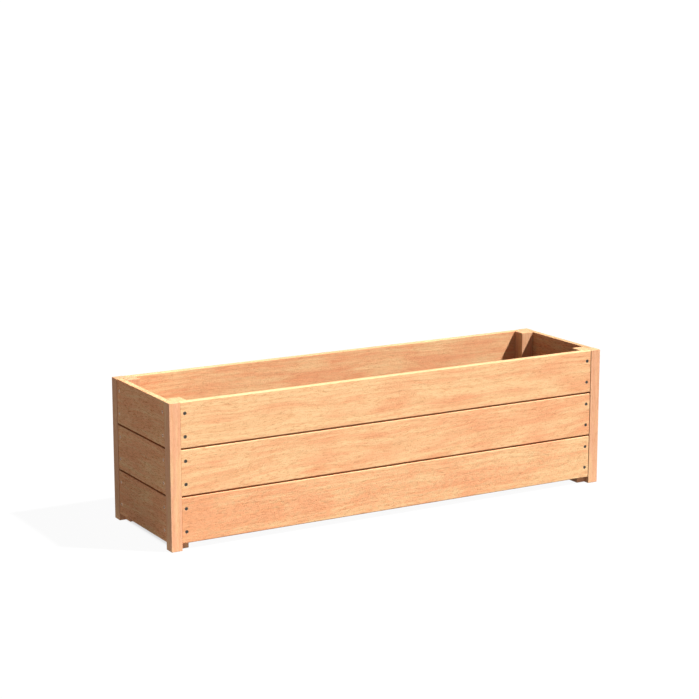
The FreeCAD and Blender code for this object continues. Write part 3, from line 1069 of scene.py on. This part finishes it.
def make_plank(node, lay, values, slot):
    """A piece of timber with a plain section."""
    _, thickness, width = lay.sizes
    corners = [(0, 0), (thickness, 0), (thickness, width), (0, width)]
    return make_timber(node, lay, corners, {"End Arris": PLANK_END_ARRIS, **values}, slot)


print(f"holes for screws of {wall_screw_length * 1000:.0f} and {bearer_screw_length * 1000:.0f} mm")

# %% [markdown]
# ## Boards
#
# Three boards make each wall. Their long edges are rounded by about three millimetres, which gives the
# dark gap between two boards its soft, bright lower lip. Each end has two screws, in seats a little wider
# than the heads. The boards are not all alike. On the front, the upper one is the yellowest and the lower
# one the pinkest and the curliest, and the boards of the ends are the most porous. Inner faces are painted
# darker than outer ones, except on the back: a painted shade for the dim inside of the trough.

# %% Boards
ROW_PINKNESS = {"lower": 0.90, "middle": 0.34, "upper": -0.08}
# The right end's boards have a darker tone: a painted shade, for the shade on the inside of that end.
WALL_TONES = {"front": 1.0, "right_end": 0.86, "back": 0.93, "left_end": 1.05}
# How much darker each wall's inner face is painted: painted shade for the dim inside of the trough.
WALL_INNER_SHADE = {"front": 0.58, "right_end": 0.24, "back": 0.0, "left_end": 0.30}
WALL_PINKNESS = {"right_end": 0.80, "back": 0.86, "left_end": 0.72}
TONES = {"front_board_lower": 0.97, "front_board_upper": 1.01}
# Each row: how much painted shade its faces that look down and up get, and whether its top gets the tint.
# The end walls get more of all three.
ROW_EDGES = {"lower": (0.3, 1, 0), "middle": (1, 1, 0), "upper": (1, 0, 1)}
END_EDGES = 1.8
FIGURES = {
    "front_board_lower": (0.04, 0.70, 0.38),
    "front_board_middle": (0.07, 0.22, 0.40),
    "front_board_upper": (0.01, 0.10, 0.38),
}
DRIFTS = {
    "front_board_lower": -0.48,
    "front_board_middle": 0.16,
    "front_board_upper": 0.28,
    "back_board_upper": -0.34,
}
BACK_FIGURE = (0.05, 0.24, 0.34)
END_FIGURE = (0.03, 0.30, 0.78)
BOARD_EDGE_RADIUS = 0.003
BOARD_PITH_DEPTH = (0.03, 0.12)
BOARD_PITH_SHARE = (0.1, 0.9)
TONE_SPREAD = 0.02
PINKNESS_SPREAD = 0.05
SEED_RANGE = 40
WOOD_SEED = 11
chance = random.Random(WOOD_SEED)


def character(pinkness, tone=1.0):
    """A tone, a pinkness and a seed for one piece of wood."""
    return (
        tone + chance.uniform(-TONE_SPREAD, TONE_SPREAD),
        pinkness + chance.uniform(-PINKNESS_SPREAD, PINKNESS_SPREAD),
        chance.uniform(0, SEED_RANGE),
    )


boards = []
for wall, (along, inward) in WALLS.items():
    for row, pinkness in ROW_PINKNESS.items():
        node = f"{wall}_board_{row}"
        lay = Lay(node, along, inward)
        width = lay.sizes[Z]
        boards.append(make_plank(node, lay, {
            "Edge Radius": BOARD_EDGE_RADIUS,
            "Cut Places": cut_places("seats_" + node, seats[node]),
            "Cutter": board_cutter,
            "Pith": (0, chance.uniform(*BOARD_PITH_DEPTH), width * chance.uniform(*BOARD_PITH_SHARE)),
            "Character": character(WALL_PINKNESS.get(wall, pinkness), TONES.get(node, WALL_TONES[wall])),
            "Figure": FIGURES.get(node, END_FIGURE if "end" in wall else BACK_FIGURE),
            "Drift": DRIFTS.get(node, 0.0),
            "Inside": (0, WALL_INNER_SHADE[wall], 0),
            "Edges": [(END_EDGES if "end" in wall else 1) * share for share in ROW_EDGES[row]],
        }, "board_wood"))
print(f"{len(boards)} boards, {face_count(boards)} faces")

# %% [markdown]
# ## Posts
#
# A post is one piece of timber with two rebates. The lip between them stands a little proud of the boards
# and hides their ends, and the block behind takes the screws. Its section has eight corners instead of
# four, and the same tree sweeps it upwards. The posts have a pink of their own and their edges are only
# just broken. The faces that look into the trough are painted a little darker, as painted shade.

# %% Posts
POST_LIP = 0.037
POST_REBATE = 0.0225
POST_EDGE_RADIUS = 0.0012
POST_END_ARRIS = 0.001
POST_PITH = (0.08, 0.14)
POST_FIGURE = (0.0, 0.10, 0.25)
# How much darker a post's inner faces are painted, as painted shade: most on the face that looks along the
# trough.
POST_INNER_SHADE = Vector((0.28, 0.10, 0.0))
POSTS = {
    "post_front_left": (RIGHT, 0.70, 0.98),
    "post_front_right": (BACK, 0.90, 0.95),
    # The back right post has a lower tone too: a painted shade for its shaded inner face.
    "post_back_right": (LEFT, 0.85, 0.92),
    "post_back_left": (FRONT, 1.10, 0.92),
}


def post_section(size):
    """The corners of a post, from its outer corner round both rebates."""
    return [
        (0, 0), (POST_LIP, 0), (POST_LIP, POST_REBATE), (size, POST_REBATE), (size, size),
        (POST_REBATE, size), (POST_REBATE, POST_LIP), (0, POST_LIP),
    ]


posts = []
for node, (inward, pinkness, tone) in POSTS.items():
    lay = Lay(node, UP, inward)
    posts.append(make_timber(node, lay, post_section(lay.sizes[Y]), {
        "Edge Radius": POST_EDGE_RADIUS,
        "End Arris": POST_END_ARRIS,
        "Cut Places": NOWHERE,
        "Cutter": board_cutter,
        "Pith": (0, chance.uniform(*POST_PITH), chance.uniform(*POST_PITH)),
        "Character": character(pinkness, tone),
        "Figure": POST_FIGURE,
        "Inside": [abs(shade) for shade in lay.turn.transposed() @ POST_INNER_SHADE],
    }, "post_wood"))
print(f"{len(posts)} posts, {face_count(posts)} faces")

# %% [markdown]
# ## Bearers and floor slats
#
# Two bearers are screwed to the long walls from inside, and cross slats lie on them with gaps for the
# water. The first and the last slat are notched round the posts. A notch is one more cut: a block at each
# of two corners.

# %% Bearers and slats
BEARER_EDGE_RADIUS = 0.002
SLAT_EDGE_RADIUS = 0.003
SLAT_COUNT = 10
NOTCH = 0.044
BEARER_PITH = (0, 0.06, 0.02)
SLAT_PITH_DEPTH = (-0.10, -0.03)
SLAT_PITH_SHARE = (0.2, 0.8)
FLOOR_PINKNESS = 0.5
FLOOR_FIGURE = (0.02, 0.15, 0.50)

bearers = []
for node, (along, inward) in BEARERS.items():
    bearers.append(make_plank(node, Lay(node, along, inward), {
        "Edge Radius": BEARER_EDGE_RADIUS,
        "Cut Places": cut_places("seats_" + node, seats[node]),
        "Cutter": bearer_cutter,
        "Pith": BEARER_PITH,
        "Character": character(FLOOR_PINKNESS),
        "Figure": FLOOR_FIGURE,
    }, "floor_wood"))

notch_mesh = bpy.data.meshes.new("notch_cutter")
block = bmesh.new()
bmesh.ops.create_cube(block, size=2 * NOTCH)
block.to_mesh(notch_mesh)
block.free()
notch_cutter = helper("notch_cutter", notch_mesh)

slats = []
for number in range(1, SLAT_COUNT + 1):
    node = f"floor_slat_{number:02d}"
    lay = Lay(node, FRONT if number == SLAT_COUNT else BACK, UP)
    length, _, width = lay.sizes
    at_end = number in (1, SLAT_COUNT)
    slats.append(make_plank(node, lay, {
        "Edge Radius": SLAT_EDGE_RADIUS,
        "Cut Places": cut_places("notches_" + node, [(0, 0, 0), (length, 0, 0)] if at_end else []),
        "Cutter": notch_cutter,
        "Pith": (0, chance.uniform(*SLAT_PITH_DEPTH), width * chance.uniform(*SLAT_PITH_SHARE)),
        "Character": character(FLOOR_PINKNESS),
        "Figure": FLOOR_FIGURE,
    }, "floor_wood"))
print(f"{len(bearers)} bearers and {len(slats)} slats, {face_count(bearers + slats)} faces")

# %% [markdown]
# ## Screws
#
# Each wall and each bearer has its own set of screws. A tree puts a copy of the turned screw on every
# point, points it into the wood and spins it by a random angle, because nobody stops all drivers at the
# same angle. The seed is fixed, so the angles are the same each time.

# %% Screws
SCREW_INPUTS = {
    "Places": "Geometry",
    "Screw": "Object",
    "Turn": "Vector",
    "Seed": "Int",
    "End Glint": "Float",
    "Finish": "Material",
}
# The screws of these walls get the paler steel with painted highlights.
BRIGHT_WALLS = ("left_end", "right_end")


def screw_tree():
    """The tree that drives screws at points."""
    tree, nodes = new_tree("driven_screws", SCREW_INPUTS)
    screw = shaded(nodes, shape_of(nodes, "Screw"))
    driven = nodes.add("GeometryNodeInstanceOnPoints", sockets={
        "Points": nodes.given("Places"), "Instance": screw, "Rotation": nodes.given("Turn"),
    })
    angle = nodes.add("FunctionNodeRandomValue", {"data_type": "FLOAT"}, {
        "Min": 0.0, "Max": 2 * math.pi, "Seed": nodes.given("Seed"),
    }, "Value")
    spin = nodes.add("ShaderNodeCombineXYZ", sockets={"Y": angle})
    driven = nodes.add("GeometryNodeRotateInstances", sockets={
        "Instances": driven, "Rotation": spin, "Local Space": True,
    })
    driven = nodes.add("GeometryNodeRealizeInstances", sockets={"Geometry": driven})
    driven = stored(nodes, driven, "polish", "FLOAT", "POINT", nodes.given("End Glint"))
    finish_tree(nodes, driven, nodes.given("Finish"))
    return tree


SCREWS = screw_tree()


def drive_screws(node, screw, points, along, inward, seed, polish=0.0):
    """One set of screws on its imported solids."""
    turn = Matrix((along, inward, along.cross(inward))).transposed().to_euler()
    piece = run_tree("made_" + node, SCREWS, new_mesh(node, points), {
        "Screw": screw,
        "Turn": tuple(turn),
        "Seed": seed,
        "End Glint": polish,
        "Finish": FINISHES["screw_steel"],
    })
    take_place(piece, node)
    return piece


screws = []
for seed, (wall, (along, inward)) in enumerate(WALLS.items()):
    polish = 1.0 if wall in BRIGHT_WALLS else 0.0
    screws.append(drive_screws(f"{wall}_screws", wall_screw, driven[wall], along, inward, seed, polish))
for seed, (node, (along, inward)) in enumerate(BEARERS.items(), start=len(WALLS)):
    screws.append(drive_screws(f"{node}_screws", bearer_screw, driven[node], along, inward, seed))
print(f"{len(screws)} sets of screws, {face_count(screws)} faces")

# %% [markdown]
# ## Clearing up
#
# The cutters, the single screws and the points were only copied from, so they go.

# %% Clear up
for copied in HELPERS:
    bpy.data.objects.remove(copied)
